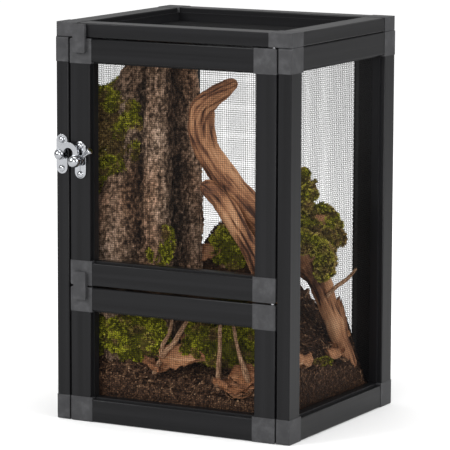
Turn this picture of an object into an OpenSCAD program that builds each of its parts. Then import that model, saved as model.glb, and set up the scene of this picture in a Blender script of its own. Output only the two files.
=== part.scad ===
// Mesh reptile terrarium. Six flat screen panels, each framed with extruded
// aluminium profile on plugged corner connectors, make a box with a swing latch
// on its side-hung front door, planted with bark, driftwood, moss and leaf litter.
// The origin is the middle of the footprint, on the surface that it stands on.
// +X is to the right of the door, +Y to the back and +Z up.

/* [Enclosure] */
// Width over the two side panels
body_w = 200; // [190:1:300]
// Depth from the front face to the back face
body_d = 175; // [168:1:260]
// Height from the floor to the top of the lid
body_h = 305; // [300:1:460]
// Height of the fixed lower front panel
lower_h = 104; // [96:1:112]
// Gap at the sides of the door and of the lower panel, and between them
front_gap = 1.2; // [0.9:0.1:1.8]
// Gap between the door and the lid
lid_gap = 0.8; // [0.5:0.1:1.2]
// Thickness of the plastic floor board
board_t = 8; // [7.5:0.5:10]
// Gap round the floor board
board_gap = 0.2; // [0.1:0.05:0.3]

/* [Profile] */
// Full width of the profile, with its spline lip
bar_w = 19; // [18.5:0.25:20]
// Width of the front land, up to the step
face_w = 17.5; // [17:0.25:17.75]
// Thickness of the profile, which is the thickness of a panel
bar_t = 11; // [10.5:0.5:13]
// Depth of the step below the outer face
step_depth = 4; // [3:0.25:5]
// Wall of the hollow
bar_wall = 1.2; // [1:0.1:1.5]
// Radius of the profile's long edges
bar_edge_r = 0.9; // [0.5:0.1:1]
// How far the profile lies below the faces of the connectors
bar_inset = 0.25; // [0.1:0.05:0.4]

/* [Spline and mesh] */
// Width of the spline groove
groove_w = 3.2; // [3:0.1:3.4]
// Depth of the spline groove
groove_depth = 4; // [3.5:0.25:4.5]
// Width of the lip between the groove and the window
lip_w = 1.3; // [1:0.1:1.6]
// Thickness of the woven wire mesh
mesh_t = 0.5; // [0.3:0.1:0.7]
// Openings of the coarse grid along the longer side of a window
mesh_cells = 12; // [6:1:12]
// Width of the coarse grid's ribs
mesh_rib = 1.4; // [0.8:0.2:2.4]
// Play of the mesh and the spline in the groove
spline_play = 0.05; // [0.03:0.01:0.1]

/* [Connectors] */
// Radius of a connector's corner, seen from outside
corner_r = 2; // [1:0.25:3]
// Radius of a connector's long edges
corner_edge_r = 0.6; // [0.3:0.1:1]
// Length of the plugs that go into the profiles
plug_len = 12; // [8:1:16]
// Play of a plug in its profile
plug_play = 0.15; // [0.05:0.05:0.25]
// Radius of the dowels that join the panels
dowel_r = 1.5; // [1:0.1:1.8]
// Length of a dowel
dowel_len = 12; // [10:1:14]
// Play of a dowel in its hole
dowel_play = 0.05; // [0.03:0.01:0.1]

/* [Door hinge] */
// Radius of the hinge pins
pin_r = 1.5; // [1:0.1:1.7]
// Running clearance of a pin in its bore
pin_play = 0.05; // [0.02:0.01:0.1]
// Depth of a pin in its connector
pin_reach = 7; // [5:0.5:9]
// Length of a pin in the lid or in the lower panel
pin_grip = 5; // [4:0.5:7]
// Pin axis to the side edge of the door
pin_from_edge = 3.4; // [3.2:0.1:5]
// Pin axis to the front face of the door
pin_from_face = 3; // [2.5:0.1:3.2]

/* [Door stops] */
// Width of a door stop
stop_w = 10.5; // [8:0.5:13]
// Height of a door stop
stop_h = 21.5; // [16:0.5:22]
// Thickness of a door stop
stop_t = 2.8; // [2:0.1:4]
// Radius of its corners
stop_r = 1.2; // [0.5:0.1:2]
// Clearance from the panel that it closes on
stop_gap = 0.3; // [0.2:0.05:0.5]

/* [Latch] */
// Height of the latch's pivot above the floor
latch_z = 201; // [190:1:215]
// Width of both plates
plate_w = 9.6; // [8:0.2:10.4]
// Height of the plate on the door
plate_h = 28; // [26:0.5:32]
// Height of the keeper's plate
keeper_h = 30; // [28:0.5:34]
// Rise of the keeper's plate above the door's plate
keeper_rise = 3.8; // [3:0.2:4.6]
// Thickness of both plates
plate_t = 1; // [0.8:0.1:1.2]
// Distance from a plate's centre to its screws
screw_reach = 10.9; // [10.2:0.1:11.5]
// Radius of a screw's domed head
screw_head_r = 2.7; // [2.2:0.1:3]
// Height of a screw's domed head
screw_head_h = 1.6; // [1.2:0.1:1.7]
// Radius of a screw's shank
screw_r = 1.1; // [0.8:0.1:1.4]
// Length of a screw's shank
screw_len = 7; // [5:0.5:8]
// Thickness of the swing arm
arm_t = 2.2; // [1.8:0.1:2.6]
// Space between the screw heads and the arm
arm_gap = 0.35; // [0.2:0.05:0.6]
// Inner radius of the arm's arch
arch_r = 4.1; // [3.6:0.1:4.4]
// Width of the arch's band
arch_band = 4.2; // [3.6:0.1:4.6]
// Radius of the hook's boss and of the hub
boss_r = 4.4; // [4:0.1:4.8]
// Radius of the keeper's peg
peg_r = 1.5; // [1.2:0.1:1.7]
// Space round the peg in the hook
peg_gap = 0.4; // [0.3:0.05:0.6]
// Radius of the ball on the pivot
ball_r = 4.8; // [4:0.1:5]
// Radius of the pivot's stem
stem_r = 1.5; // [1.2:0.1:2]
// Length of the thumb horn
horn_len = 8.5; // [6:0.5:9.5]
// Radius of the thumb horn's flared end
horn_r = 2.9; // [2:0.1:3]

/* [Planting] */
// Depth of the substrate at the walls
soil_h = 30; // [26:1:36]
// Height of the bank in the middle
bank_h = 70; // [40:1:76]
// Height of the bank in the rear right corner
rear_bank_h = 62; // [30:1:70]
// Gap between the substrate and the walls
soil_gap = 0.5; // [0.3:0.1:1]
// Radius of the trunk near its top
trunk_r = 25; // [20:1:26]
// Spread of the trunk's foot beyond its top
trunk_flare = 10; // [4:1:11]
// Gap between the trunk's top and the lid's mesh
trunk_headroom = 8; // [4:1:20]
// Radius of the driftwood at its thickest
wood_r = 17; // [12:0.5:18]
// Length of the largest leaf
leaf_len = 42; // [30:1:46]
// Thickness of a leaf
leaf_t = 0.5; // [0.4:0.1:0.8]
// Radius of a twig
twig_r = 1.6; // [1:0.1:2]
// Gap at which loose pieces lie on each other
lay_gap = 0.3; // [0.2:0.05:0.4]

/* [Hidden] */
e = 0.01;
side_h = body_h - bar_t;
inner_w = body_w - 2 * bar_t;
inner_d = body_d - 2 * bar_t;
front_w = inner_w - 2 * front_gap;
door_z = lower_h + front_gap;
door_h = side_h - lid_gap - door_z;
groove_a = bar_w - lip_w - groove_w;
groove_end = groove_a + groove_w;
hollow_w = groove_a - 1 - bar_inset - bar_wall;
hollow_d = bar_t - bar_inset - 2 * bar_wall;
hollow_0 = bar_inset + bar_wall;
bar_front = -body_d / 2 + bar_inset;

// A panel is [name, width, height]. Its own frame has X across, Z up and the
// outer face at Y = 0, so one set of modules draws all six.
LEFT = ["left", body_d, side_h];
RIGHT = ["right", body_d, side_h];
BACK = ["back", inner_w, side_h];
LID = ["lid", body_w, body_d];
DOOR = ["door", front_w, door_h];
LOWER = ["lower", front_w, lower_h];
PANELS = [LEFT, RIGHT, BACK, LID, DOOR, LOWER];

// The names of a panel's bars, in the order bottom, top, left and right
function bar_names(p) =
    p[0] == "left" ? ["bottom_rail", "top_rail", "rear_stile", "front_stile"] :
    p[0] == "right" ? ["bottom_rail", "top_rail", "front_stile", "rear_stile"] :
    p[0] == "lid" ? ["front_rail", "rear_rail", "left_rail", "right_rail"] :
    ["bottom_rail", "top_rail", "left_stile", "right_stile"];

// ---- Panels ----------------------------------------------------------------

// Puts a piece drawn in a panel's own frame in its place on the box
module place(p) {
    if (p[0] == "left")
        translate([-body_w / 2, body_d / 2, 0]) rotate([0, 0, -90]) children();
    else if (p[0] == "right")
        translate([body_w / 2, -body_d / 2, 0]) rotate([0, 0, 90]) children();
    else if (p[0] == "back")
        translate([inner_w / 2, body_d / 2, 0]) rotate([0, 0, 180]) children();
    else if (p[0] == "lid")
        translate([-body_w / 2, -body_d / 2, body_h]) rotate([-90, 0, 0]) children();
    else if (p[0] == "door")
        translate([-front_w / 2, -body_d / 2, door_z]) children();
    else
        translate([-front_w / 2, -body_d / 2, 0]) children();
}

// A rectangle with round corners, from its lower left corner
module round_rect(w, h, r) {
    translate([r, 0]) square([w - 2 * r, h]);
    translate([0, r]) square([w, h - 2 * r]);
    for (x = [r, w - r]) for (y = [r, h - r]) translate([x, y]) circle(r = r, $fn = 24);
}

// The profile's section: X is the depth behind the outer face, Y runs from the
// outer edge of the panel to the window
module bar_section() {
    difference() {
        union() {
            translate([bar_inset, bar_inset])
                round_rect(bar_t - bar_inset, face_w - bar_inset, bar_edge_r);
            translate([step_depth, groove_a]) square([bar_t - step_depth, bar_w - groove_a]);
        }
        translate([hollow_0, hollow_0]) square([hollow_d, hollow_w]);
        translate([bar_t - groove_depth, groove_a]) square([groove_depth + e, groove_w]);
        translate([bar_t - mesh_t, groove_end - e]) square([mesh_t + e, lip_w + 2 * e]);
    }
}

// Bar number i of a panel: 0 bottom, 1 top, 2 left, 3 right
module bar(p, i) {
    color([0.13, 0.13, 0.14])
        if (i < 2)
            translate([bar_w, 0, i * p[2]]) mirror([0, 0, i])
                rotate([90, 0, 90]) linear_extrude(p[1] - 2 * bar_w) bar_section();
        else
            translate([(i - 2) * p[1], 0, bar_w]) mirror([i - 2, 0, 0])
                linear_extrude(p[2] - 2 * bar_w) mirror([1, -1, 0]) bar_section();
}

// The space of the spline groove and of the mesh, all round a panel's window
module groove_ring(p) {
    ring = groove_a;
    translate([0, bar_t + e, 0]) rotate([90, 0, 0]) {
        linear_extrude(groove_depth + e) difference() {
            translate([ring, ring]) square([p[1] - 2 * ring, p[2] - 2 * ring]);
            translate([groove_end, groove_end])
                square([p[1] - 2 * groove_end, p[2] - 2 * groove_end]);
        }
        linear_extrude(mesh_t + e) translate([groove_end - e, groove_end - e])
            square([p[1] - 2 * groove_end + 2 * e, p[2] - 2 * groove_end + 2 * e]);
    }
}

// One corner connector, at the lower left corner: a square block with the
// outer edges rounded, and a plug for each of the two profiles
module corner_block() {
    far = 2 * corner_r;
    intersection() {
        translate([0, bar_t, 0]) rotate([90, 0, 0]) linear_extrude(bar_t) intersection() {
            square(bar_w);
            round_rect(bar_w + far, bar_w + far, corner_r);
        }
        linear_extrude(bar_w) round_rect(bar_w + far, bar_t, corner_edge_r);
        rotate([90, 0, 90]) linear_extrude(bar_w) round_rect(bar_t, bar_w + far, corner_edge_r);
    }
    plug_0 = hollow_0 + plug_play;
    plug_d = hollow_d - 2 * plug_play;
    plug_w = hollow_w - 2 * plug_play;
    translate([bar_w - 1, plug_0, plug_0]) cube([plug_len + 1, plug_d, plug_w]);
    translate([plug_0, plug_0, bar_w - 1]) cube([plug_w, plug_d, plug_len + 1]);
}

// The four connectors of a panel
module corners(p) {
    color([0.33, 0.33, 0.34]) difference() {
        for (i = [0, 1]) for (j = [0, 1])
            translate([i * p[1], 0, j * p[2]]) mirror([i, 0, 0]) mirror([0, 0, j]) corner_block();
        groove_ring(p);
    }
}

// A rectangular ring in a panel's plane: a from the panel's edge, w wide
module window_ring(p, a, w) {
    difference() {
        translate([a, a]) square([p[1] - 2 * a, p[2] - 2 * a]);
        translate([a + w, a + w]) square([p[1] - 2 * (a + w), p[2] - 2 * (a + w)]);
    }
}

// The woven wire mesh as one fine sheet with a plain grid of openings, its
// edge turned down into the groove
module mesh_sheet(p) {
    edge = groove_end - mesh_t;
    window = [p[1] - 2 * bar_w, p[2] - 2 * bar_w];
    count = [for (w = window) max(1, round(w * mesh_cells / max(window)))];
    cell = [for (a = [0, 1]) window[a] / count[a]];
    color([0.15, 0.15, 0.16]) translate([0, bar_t, 0]) rotate([90, 0, 0]) {
        linear_extrude(mesh_t - spline_play) difference() {
            translate([edge, edge]) square([p[1] - 2 * edge, p[2] - 2 * edge]);
            for (i = [0:count[0] - 1]) for (j = [0:count[1] - 1])
                translate([for (a = [0, 1]) bar_w + [i, j][a] * cell[a] + mesh_rib / 2])
                    square([cell[0] - mesh_rib, cell[1] - mesh_rib]);
        }
        linear_extrude(groove_depth - spline_play) window_ring(p, edge, mesh_t - spline_play);
    }
}

// The rubber spline that holds the mesh in the groove
module spline(p) {
    spline_w = groove_w - mesh_t - 2 * spline_play;
    color([0.08, 0.08, 0.08]) translate([0, bar_t - spline_play, 0]) rotate([90, 0, 0])
        linear_extrude(spline_w) window_ring(p, groove_a + spline_play, spline_w);
}

// The dowels that join the panels, as [middle of the dowel, its direction]
dowel_in = bar_w / 2;
board_dowel_y = body_d / 4;
board_dowel_z = board_t / 2 + bar_inset;
DOWELS = concat(
    // lid on the side panels
    [for (x = [-1, 1]) for (y = [-1, 1])
        [[x * (body_w - bar_t) / 2, y * (body_d / 2 - dowel_in), side_h], [0, 0, 0]]],
    // side panels to the back and to the lower panel
    [for (x = [-1, 1]) for (z = [dowel_in, side_h - dowel_in])
        [[x * inner_w / 2, (body_d - bar_t) / 2, z], [0, 90, 0]]],
    [for (x = [-1, 1]) for (z = [dowel_in, lower_h - dowel_in])
        [[x * (inner_w - front_gap) / 2, -(body_d - bar_t) / 2, z], [0, 90, 0]]],
    // side panels to the floor board
    [for (x = [-1, 1]) for (y = [-1, 1])
        [[x * inner_w / 2, y * board_dowel_y, board_dowel_z], [0, 90, 0]]]
);

// All the dowels, or with a play all their holes
module dowels(play = 0) {
    for (d = DOWELS) translate(d[0]) rotate(d[1])
        cylinder(r = dowel_r + play, h = dowel_len + 4 * play, center = true, $fn = 32);
}

module panel_dowels() {
    color([0.75, 0.75, 0.77]) dowels();
}

module floor_board() {
    color([0.1, 0.1, 0.1]) difference() {
        translate([board_gap - inner_w / 2, board_gap - inner_d / 2, 0])
            cube([inner_w - 2 * board_gap, inner_d - 2 * board_gap, board_t]);
        dowels(dowel_play);
    }
}

// ---- Door hinge and stops ----------------------------------------------------

pin_x = front_w / 2 - pin_from_edge;
pin_y = -body_d / 2 + pin_from_face;
// The two pins as [lower end, upper end]
PINS = [
    [lower_h - pin_grip, door_z + pin_reach],
    [door_z + door_h - pin_reach, side_h + pin_grip]
];

// The hinge pins, or with a play their bores
module pins(play = 0) {
    for (z = PINS) translate([pin_x, pin_y, z[0] - 4 * play])
        cylinder(r = pin_r + play, h = z[1] - z[0] + 8 * play, $fn = 32);
}

module hinge_pins() {
    color([0.8, 0.8, 0.82]) pins();
}

// A door stop stands on the door's connector and laps over the next panel.
// seam is the height of the gap, and up is 1 where that panel is above.
module door_stop(seam, up) {
    lap = stop_h / 2;
    translate([-front_w / 2 + dowel_in - stop_w / 2, -body_d / 2, seam]) mirror([0, 0, up]) {
        difference() {
            rotate([90, 0, 0]) linear_extrude(stop_t)
                translate([0, -lap]) round_rect(stop_w, stop_h, stop_r);
            translate([-e, -stop_gap, -lap - e]) cube([stop_w + 2 * e, stop_gap + e, lap + e]);
        }
    }
}

module door_stops() {
    color([0.36, 0.36, 0.37]) {
        door_stop(door_z - e, 0);
        door_stop(door_z + door_h + e, 1);
    }
}

// ---- Latch -------------------------------------------------------------------

latch_x = -front_w / 2 + dowel_in;
keeper_x = -(body_w - bar_t) / 2;
keeper_z = latch_z + keeper_rise;
plate_front = bar_front - plate_t;
arm_back = plate_front - screw_head_h - arm_gap;
arm_front = arm_back - arm_t;
arch_x = keeper_x + boss_r / 2 + arch_r + arch_band / 2 - 0.4;
arch_z = keeper_z + 1.4;
// The hook comes off its peg along the circle round the pivot
hook_turn = atan2(keeper_z - latch_z, latch_x - keeper_x);
hook_r = norm([keeper_z - latch_z, latch_x - keeper_x]);

// Turns an outline seen from the front into a plate whose front is at y
module front_plate(y, t) {
    translate([0, y + t, 0]) rotate([90, 0, 0]) linear_extrude(t) children();
}

// A plate with round ends, its middle at x, z
module plate(x, z, h) {
    front_plate(plate_front, plate_t) {
        translate([x - plate_w / 2, z - h / 2 + plate_w / 2]) square([plate_w, h - plate_w]);
        for (s = [-1, 1]) translate([x, z + s * (h - plate_w) / 2])
            circle(r = plate_w / 2, $fn = 48);
    }
}

// A dome of radius r and height h on the face at y, its crown to the front
module dome(x, y, z, r, h) {
    ball = (r * r + h * h) / (2 * h);
    translate([x, y, z]) rotate([90, 0, 0]) rotate_extrude($fn = 48) intersection() {
        translate([0, h - ball]) circle(r = ball, $fn = 96);
        square([r, h]);
    }
}

// The screws of the plate at x, z, or with a play their holes
module screws(x, z, play = 0) {
    for (s = [-1, 1]) {
        translate([x, plate_front, z + s * screw_reach]) rotate([-90, 0, 0])
            cylinder(r = screw_r + play, h = screw_len + 4 * play, $fn = 24);
        if (play == 0) dome(x, plate_front, z + s * screw_reach, screw_head_r, screw_head_h);
    }
}

// Everything that is drilled for the dowels, the latch and the pins
screw_play = 0.1;
module drillings() {
    dowels(dowel_play);
    pins(pin_play);
    screws(keeper_x, keeper_z, screw_play);
    screws(latch_x, latch_z, screw_play);
    translate([latch_x, plate_front - e, latch_z]) rotate([-90, 0, 0])
        cylinder(r = stem_r + screw_play, h = screw_len + e, $fn = 32);
}

module keeper_plate() {
    peg_len = plate_front - arm_front - 0.4;
    color([0.78, 0.78, 0.8]) {
        difference() {
            plate(keeper_x, keeper_z, keeper_h);
            screws(keeper_x, keeper_z, screw_play);
        }
        translate([keeper_x, plate_front, keeper_z]) rotate([90, 0, 0])
            cylinder(r = peg_r, h = peg_len, $fn = 32);
    }
}

module keeper_screws() {
    color([0.85, 0.85, 0.87]) screws(keeper_x, keeper_z);
}

module latch_plate() {
    color([0.78, 0.78, 0.8]) difference() {
        plate(latch_x, latch_z, plate_h);
        drillings();
    }
}

module latch_screws() {
    color([0.85, 0.85, 0.87]) screws(latch_x, latch_z);
}

// The pivot: a stem through the plate and the arm, with a collar behind the
// arm and a ball in front of it
module latch_pivot() {
    collar_h = plate_front - arm_back - 0.15;
    stem_len = 4;
    ball_y = arm_front - sqrt(ball_r * ball_r - stem_r * stem_r) - 0.1;
    color([0.85, 0.85, 0.87]) translate([latch_x, 0, latch_z]) rotate([90, 0, 0]) {
        translate([0, 0, -plate_front - stem_len])
            cylinder(r = stem_r, h = stem_len + plate_front - ball_y, $fn = 32);
        translate([0, 0, -plate_front]) cylinder(r = stem_r + 1.2, h = collar_h, $fn = 32);
        translate([0, 0, -ball_y]) sphere(r = ball_r, $fn = 64);
    }
}

// The outline of the swing arm: hub, arch and hook boss
module arm_outline() {
    difference() {
        union() {
            translate([latch_x, latch_z]) circle(r = boss_r, $fn = 48);
            translate([keeper_x, keeper_z]) circle(r = boss_r, $fn = 48);
            difference() {
                translate([arch_x, arch_z]) circle(r = arch_r + arch_band, $fn = 96);
                translate([arch_x - 2 * body_w, arch_z - body_w]) square([4 * body_w, body_w]);
            }
            // the arch's right leg runs down to the hub
            translate([latch_x - boss_r, latch_z]) square([arch_band + 1, arch_z - latch_z]);
            // the neck of the thumb horn
            translate([latch_x, latch_z]) rotate(horn_angle)
                translate([0, -horn_neck]) square([boss_r + 3.5, 2 * horn_neck]);
        }
        translate([arch_x, arch_z]) circle(r = arch_r, $fn = 64);
        translate([arch_x - arch_r, latch_z - boss_r])
            square([2 * arch_r - 1.2, arch_z - latch_z + boss_r]);
        translate([latch_x, latch_z]) circle(r = stem_r + pin_play, $fn = 32);
        // the slot of the hook, open along the circle on which it leaves the peg
        translate([keeper_x, keeper_z]) circle(r = peg_r + peg_gap, $fn = 32);
        translate([latch_x, latch_z]) intersection() {
            difference() {
                circle(r = hook_r + peg_r + peg_gap, $fn = 96);
                circle(r = hook_r - peg_r - peg_gap, $fn = 96);
            }
            rotate(180 - hook_turn) square(2 * hook_r);
        }
    }
}
horn_angle = 38;
horn_neck = 1.5;

module latch_arm() {
    color([0.8, 0.8, 0.82]) {
        front_plate(arm_front, arm_t) arm_outline();
        dome(keeper_x, arm_front, keeper_z, boss_r - 0.4, 3.2);
        // the flared thumb horn
        translate([latch_x, arm_front + arm_t / 2, latch_z]) rotate([0, 90 - horn_angle, 0])
            translate([0, 0, boss_r + 1]) rotate_extrude($fn = 48)
                polygon([[0, 0], [horn_neck, 0], [horn_neck, horn_len * 0.3],
                    [horn_r * 0.72, horn_len * 0.62], [horn_r, horn_len - 1],
                    [horn_r * 0.86, horn_len - 0.2], [horn_r * 0.5, horn_len], [0, horn_len]]);
    }
}

// ---- Planting ------------------------------------------------------------------

// A closed solid through rings of points, each ring with the same count. Seen
// from the last ring, the points of every ring go round clockwise.
module loft(rings) {
    n = len(rings[0]);
    m = len(rings);
    polyhedron(
        points = [for (r = rings) each r],
        faces = concat(
            [[for (i = [n - 1:-1:0]) i]],
            [[for (i = [0:n - 1]) (m - 1) * n + i]],
            [for (k = [0:m - 2]) for (i = [0:n - 1])
                [k * n + i, (k + 1) * n + (i + 1) % n, (k + 1) * n + i]],
            [for (k = [0:m - 2]) for (i = [0:n - 1])
                [k * n + i, k * n + (i + 1) % n, (k + 1) * n + (i + 1) % n]]
        ),
        convexity = 8
    );
}

// The planting is laid out in a space of this width and depth, and spreads
// with the enclosure
laid_w = 178;
laid_d = 153;
kx = inner_w / laid_w;
ky = inner_d / laid_d;
function laid(p) = [for (i = [0:len(p) - 1]) p[i] * (i == 0 ? kx : i == 1 ? ky : 1)];

function bell(d, s) = exp(-d * d / (2 * s * s));

// Height of the substrate: level at the walls, with a bank behind the middle
// and another in the rear right corner
rear_y = inner_d / 2;
left_x = -inner_w / 2;
function soil_z(x, y) = let (u = x / kx, v = y / ky) board_t + soil_h
    + bank_h * bell(u - 2, 40) * bell(min(v - 36, 0), 28) * bell(max(v - 60, 0), 20)
    + rear_bank_h * bell(u - laid_w / 2 + 12, 15) * bell(v - laid_d / 2, 11)
    + 14 * bell(u + laid_w / 2 - 20, 30) * bell(v + laid_d / 2 - 24, 30)
    + 1.6 * sin(9 * u + 40) * cos(8 * v);

soil_step = 5.5;
soil_nx = round((inner_w - 2 * soil_gap) / soil_step);
soil_ny = round((inner_d - 2 * soil_gap) / soil_step);
function soil_x(i) = left_x + soil_gap + i * (inner_w - 2 * soil_gap) / soil_nx;
function soil_y(j) = -rear_y + soil_gap + j * (inner_d - 2 * soil_gap) / soil_ny;

// The substrate's whole block. Raised, it cuts what lies on it.
module soil_block(raise = 0) {
    row = [for (i = [0:soil_nx]) i];
    rings = [for (j = [soil_ny:-1:0]) concat(
        [for (i = row) [soil_x(i), soil_y(j), soil_z(soil_x(i), soil_y(j)) + raise]],
        [[soil_x(soil_nx), soil_y(j), board_t], [soil_x(0), soil_y(j), board_t]])];
    loft(rings);
}

// The trunk: round and fluted, leaning a little, wider below its crown, with
// a buttress root at its front left
trunk_x = left_x + trunk_r + trunk_flare + 3.5;
trunk_y = -18 * ky;
trunk_top = side_h - trunk_headroom;
trunk_lean = 5;
function trunk_radius(z, a) =
    let (t = z / trunk_top, foot = sqrt(min(1, 2.2 * (1 - t))) * trunk_flare)
    (trunk_r + foot)
        * (1 + 0.05 * sin(5 * a + 90 * t) + 0.035 * sin(9 * a - 160 * t + 30)
            + 0.02 * sin(14 * a + 200 * t));
module trunk_solid(extra = 0) {
    n = 40;
    m = 16;
    limb(ROOT, 3, extra);
    loft([for (k = [0:m]) let (z = board_t + (trunk_top - board_t) * k / m)
        [for (i = [0:n - 1]) let (a = -360 * i / n, r = trunk_radius(z, a) + extra)
            [trunk_x + trunk_lean * z / trunk_top + r * cos(a), trunk_y + r * sin(a),
                z - (k == 0 ? extra : 0) + (k == m ? extra : 0)]]]);
}
// The root as [offset from the trunk's foot, height, radius]
ROOT = [for (p = [
    [-6, -12, 208, 9], [-8.5, -18, 188, 15], [-10.5, -23, 165, 19.5], [-11.5, -25.5, 135, 21],
    [-11.5, -27, 100, 21.5], [-11.5, -28, 60, 21], [-11.5, -28, 20, 20]
]) [trunk_x + p[0], trunk_y + p[1] * ky, p[2], p[3]]];

module trunk() {
    color([0.42, 0.33, 0.27]) trunk_solid();
}

// A tapered, grooved limb along hand-placed points [x, y, z, radius]
function unit(v) = v / norm(v);
function limb_way(p, i) =
    let (a = p[max(i - 1, 0)], b = p[min(i + 1, len(p) - 1)])
    unit([b[0] - a[0], b[1] - a[1], b[2] - a[2]]);
module limb(path, grooves, extra = 0) {
    n = 14;
    loft([for (i = [0:len(path) - 1])
        let (w = limb_way(path, i), u = unit(cross(w, [0.31, 1, 0.13])), v = cross(w, u))
        [for (k = [0:n - 1])
            let (a = -360 * k / n, r = path[i][3] * (1 + 0.1 * cos(grooves * a + 25 * i)) + extra)
            [path[i][0], path[i][1], path[i][2]] + r * (cos(a) * u + sin(a) * v)]]);
}

// The driftwood: a horn that curves up to the left and a leg that leans back,
// joined in a thick knuckle under the moss, and a limb under the horn
knuckle = [56, 16, 126];
HORN = [for (p = [
    [31, -38, 263, 4], [24, -39, 259, 6.2], [13, -39, 252.5, 7.6], [4, -39, 245, 9],
    [0.5, -38.5, 236, 9.6], [0, -38, 226, 10], [2, -37, 215, 9.8], [6, -36, 205, 9.6],
    [11.5, -33, 195, 9.8], [18, -29, 184, 10.4], [25, -23, 173, 11], [32, -16, 162, 11.6],
    [39, -8, 151, 12.4], [46, 1, 140, 14], [52, 10, 131, 15.5],
    [knuckle[0], knuckle[1], knuckle[2], wood_r * 0.9]
]) laid(p)];
LEG = [for (p = [
    [52, 8, 140, wood_r * 0.7], [57, 14, 130, wood_r * 0.85], [61, 20, 118, 13.5],
    [65, 25, 107, 10.5], [68, 30, 95, 8.8], [70.5, 36, 81, 8.2], [73, 42, 66, 8],
    [75.5, 48.5, 50, 8], [77, 53, 38, 8], [78, 56, 28, 8]
]) laid(p)];
BODY = [for (p = [
    [48, 12, 112, 9], [52, 17, 122, wood_r * 0.8], [57, 26, 134, wood_r],
    [60, 36, 143, wood_r * 0.95], [62, 46, 149, wood_r * 0.75], [63, 54, 152, 7]
]) laid(p)];
REAR_LEG = [for (p = [
    [61, 46, 148, 9], [58, 52, 134, 9], [54, 56, 118, 8.4], [50, 59, 100, 8]
]) laid(p)];
LOWER_LIMB = [for (p = [
    [3, -42.5, 184, 3.6], [8, -41.5, 181, 6], [14, -40.5, 176, 6.8], [20, -38.5, 169, 6.6],
    [28.4, -36, 156, 6.2], [36.6, -32, 140, 6.2], [44, -28, 124, 6.4], [52, -24, 104, 6.8],
    [58, -21, 84, 7], [63, -18, 62, 7.2], [67, -16, 38, 7.4]
]) laid(p)];
module driftwood_solid(extra = 0) {
    limb(HORN, 3, extra);
    limb(LEG, 3, extra);
    limb(BODY, 4, extra);
    limb(REAR_LEG, 3, extra);
    limb(LOWER_LIMB, 3, extra);
}

module driftwood() {
    color([0.55, 0.34, 0.22]) driftwood_solid();
}

// A lumpy moss cushion about a centre, with its three half sizes
module cushion(c, s) {
    n = 14;
    m = 9;
    loft([for (k = [0:m]) let (t = -82 + 164 * k / m)
        [for (i = [0:n - 1])
            let (a = -360 * i / n, r = 1 + 0.07 * sin(3 * a + 70 * k) + 0.05 * sin(5 * a + 130 * k))
            [c[0] + s[0] * r * cos(t) * cos(a), c[1] + s[1] * r * cos(t) * sin(a),
                c[2] + s[2] * sin(t)]]]);
}

// The moss cushions as [centre, half sizes]
CUSHIONS = [for (c = [
    [[-56, -57, 58], [27, 15, 19]],
    [[34, -48, 56], [26, 15, 17]],
    [[-4, 32, 116], [17, 15, 15]],
    [[76, -8, 44], [8, 9, 9]]
]) [laid(c[0]), laid(c[1])]];
MOUND = [for (c = [
    [[60, 30, 148], [23, 26, 30]],
    [[56, 14, 166], [14, 13, 17]],
    [[66, 47, 146], [15, 20, 20]]
]) [laid(c[0]), laid(c[1])]];
TRUNK_MOSS = [for (c = [
    [[-69, -36, 240], [13, 13, 19]],
    [[-57, -47, 224], [14, 8, 13]],
    [[-69, -45, 200], [12, 12, 17]],
    [[-31, -47, 135], [10, 8, 15]]
]) [laid(c[0]), laid(c[1])]];

module moss() {
    color([0.42, 0.48, 0.16]) {
        difference() {
            for (c = CUSHIONS) cushion(c[0], c[1]);
            soil_block(lay_gap);
            trunk_solid(lay_gap);
            driftwood_solid(lay_gap);
        }
        difference() {
            for (c = MOUND) cushion(c[0], c[1]);
            driftwood_solid(lay_gap);
        }
        difference() {
            for (c = TRUNK_MOSS) cushion(c[0], c[1]);
            trunk_solid(lay_gap);
        }
    }
}

module substrate() {
    color([0.2, 0.14, 0.1]) difference() {
        soil_block();
        trunk_solid(lay_gap);
        driftwood_solid(lay_gap);
    }
}

// A dry leaf laid on the substrate: it follows the ground, and curls up from
// it at its edges and at its tip
leaf_lift = 0.7;
function leaf_ground(x, y) = soil_z(x, y) + leaf_lift;
function leaf_half(s) = 0.5 * pow(sin(180 * pow(s, 0.8)), 0.75);
module leaf(x, y, turn, size, curl, droop) {
    n = 8;
    rows = [for (i = [0:n]) 0.04 + 0.92 * i / n];
    cols = [-1, -0.5, 0, 0.5, 1];
    top = [for (s = rows) for (c = cols)
        let (u = size * (s - 0.5), v = size * 0.62 * leaf_half(s) * c,
            px = x + u * cos(turn) - v * sin(turn), py = y + u * sin(turn) + v * cos(turn),
            rise = curl * c * c + droop * pow(s, 2) + 0.6 * (1 + cos(360 * s * 2)) * abs(c))
        [px, py, leaf_ground(px, py) + rise]];
    w = len(cols);
    count = len(top);
    quads = [for (i = [0:n - 1]) for (j = [0:w - 2])
        [i * w + j, i * w + j + 1, (i + 1) * w + j + 1, (i + 1) * w + j]];
    rim = concat([for (j = [0:w - 2]) [j, j + 1]],
        [for (i = [0:n - 1]) [i * w + w - 1, (i + 1) * w + w - 1]],
        [for (j = [w - 1:-1:1]) [n * w + j, n * w + j - 1]],
        [for (i = [n:-1:1]) [i * w, (i - 1) * w]]);
    polyhedron(
        points = concat([for (p = top) p + [0, 0, leaf_t]], top),
        faces = concat(
            [for (q = quads) [q[0], q[1], q[2]]],
            [for (q = quads) [q[0], q[2], q[3]]],
            [for (q = quads) [q[0] + count, q[2] + count, q[1] + count]],
            [for (q = quads) [q[0] + count, q[3] + count, q[2] + count]],
            [for (r = rim) [r[1], r[0], r[0] + count]],
            [for (r = rim) [r[1], r[0] + count, r[1] + count]]),
        convexity = 6
    );
}

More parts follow.
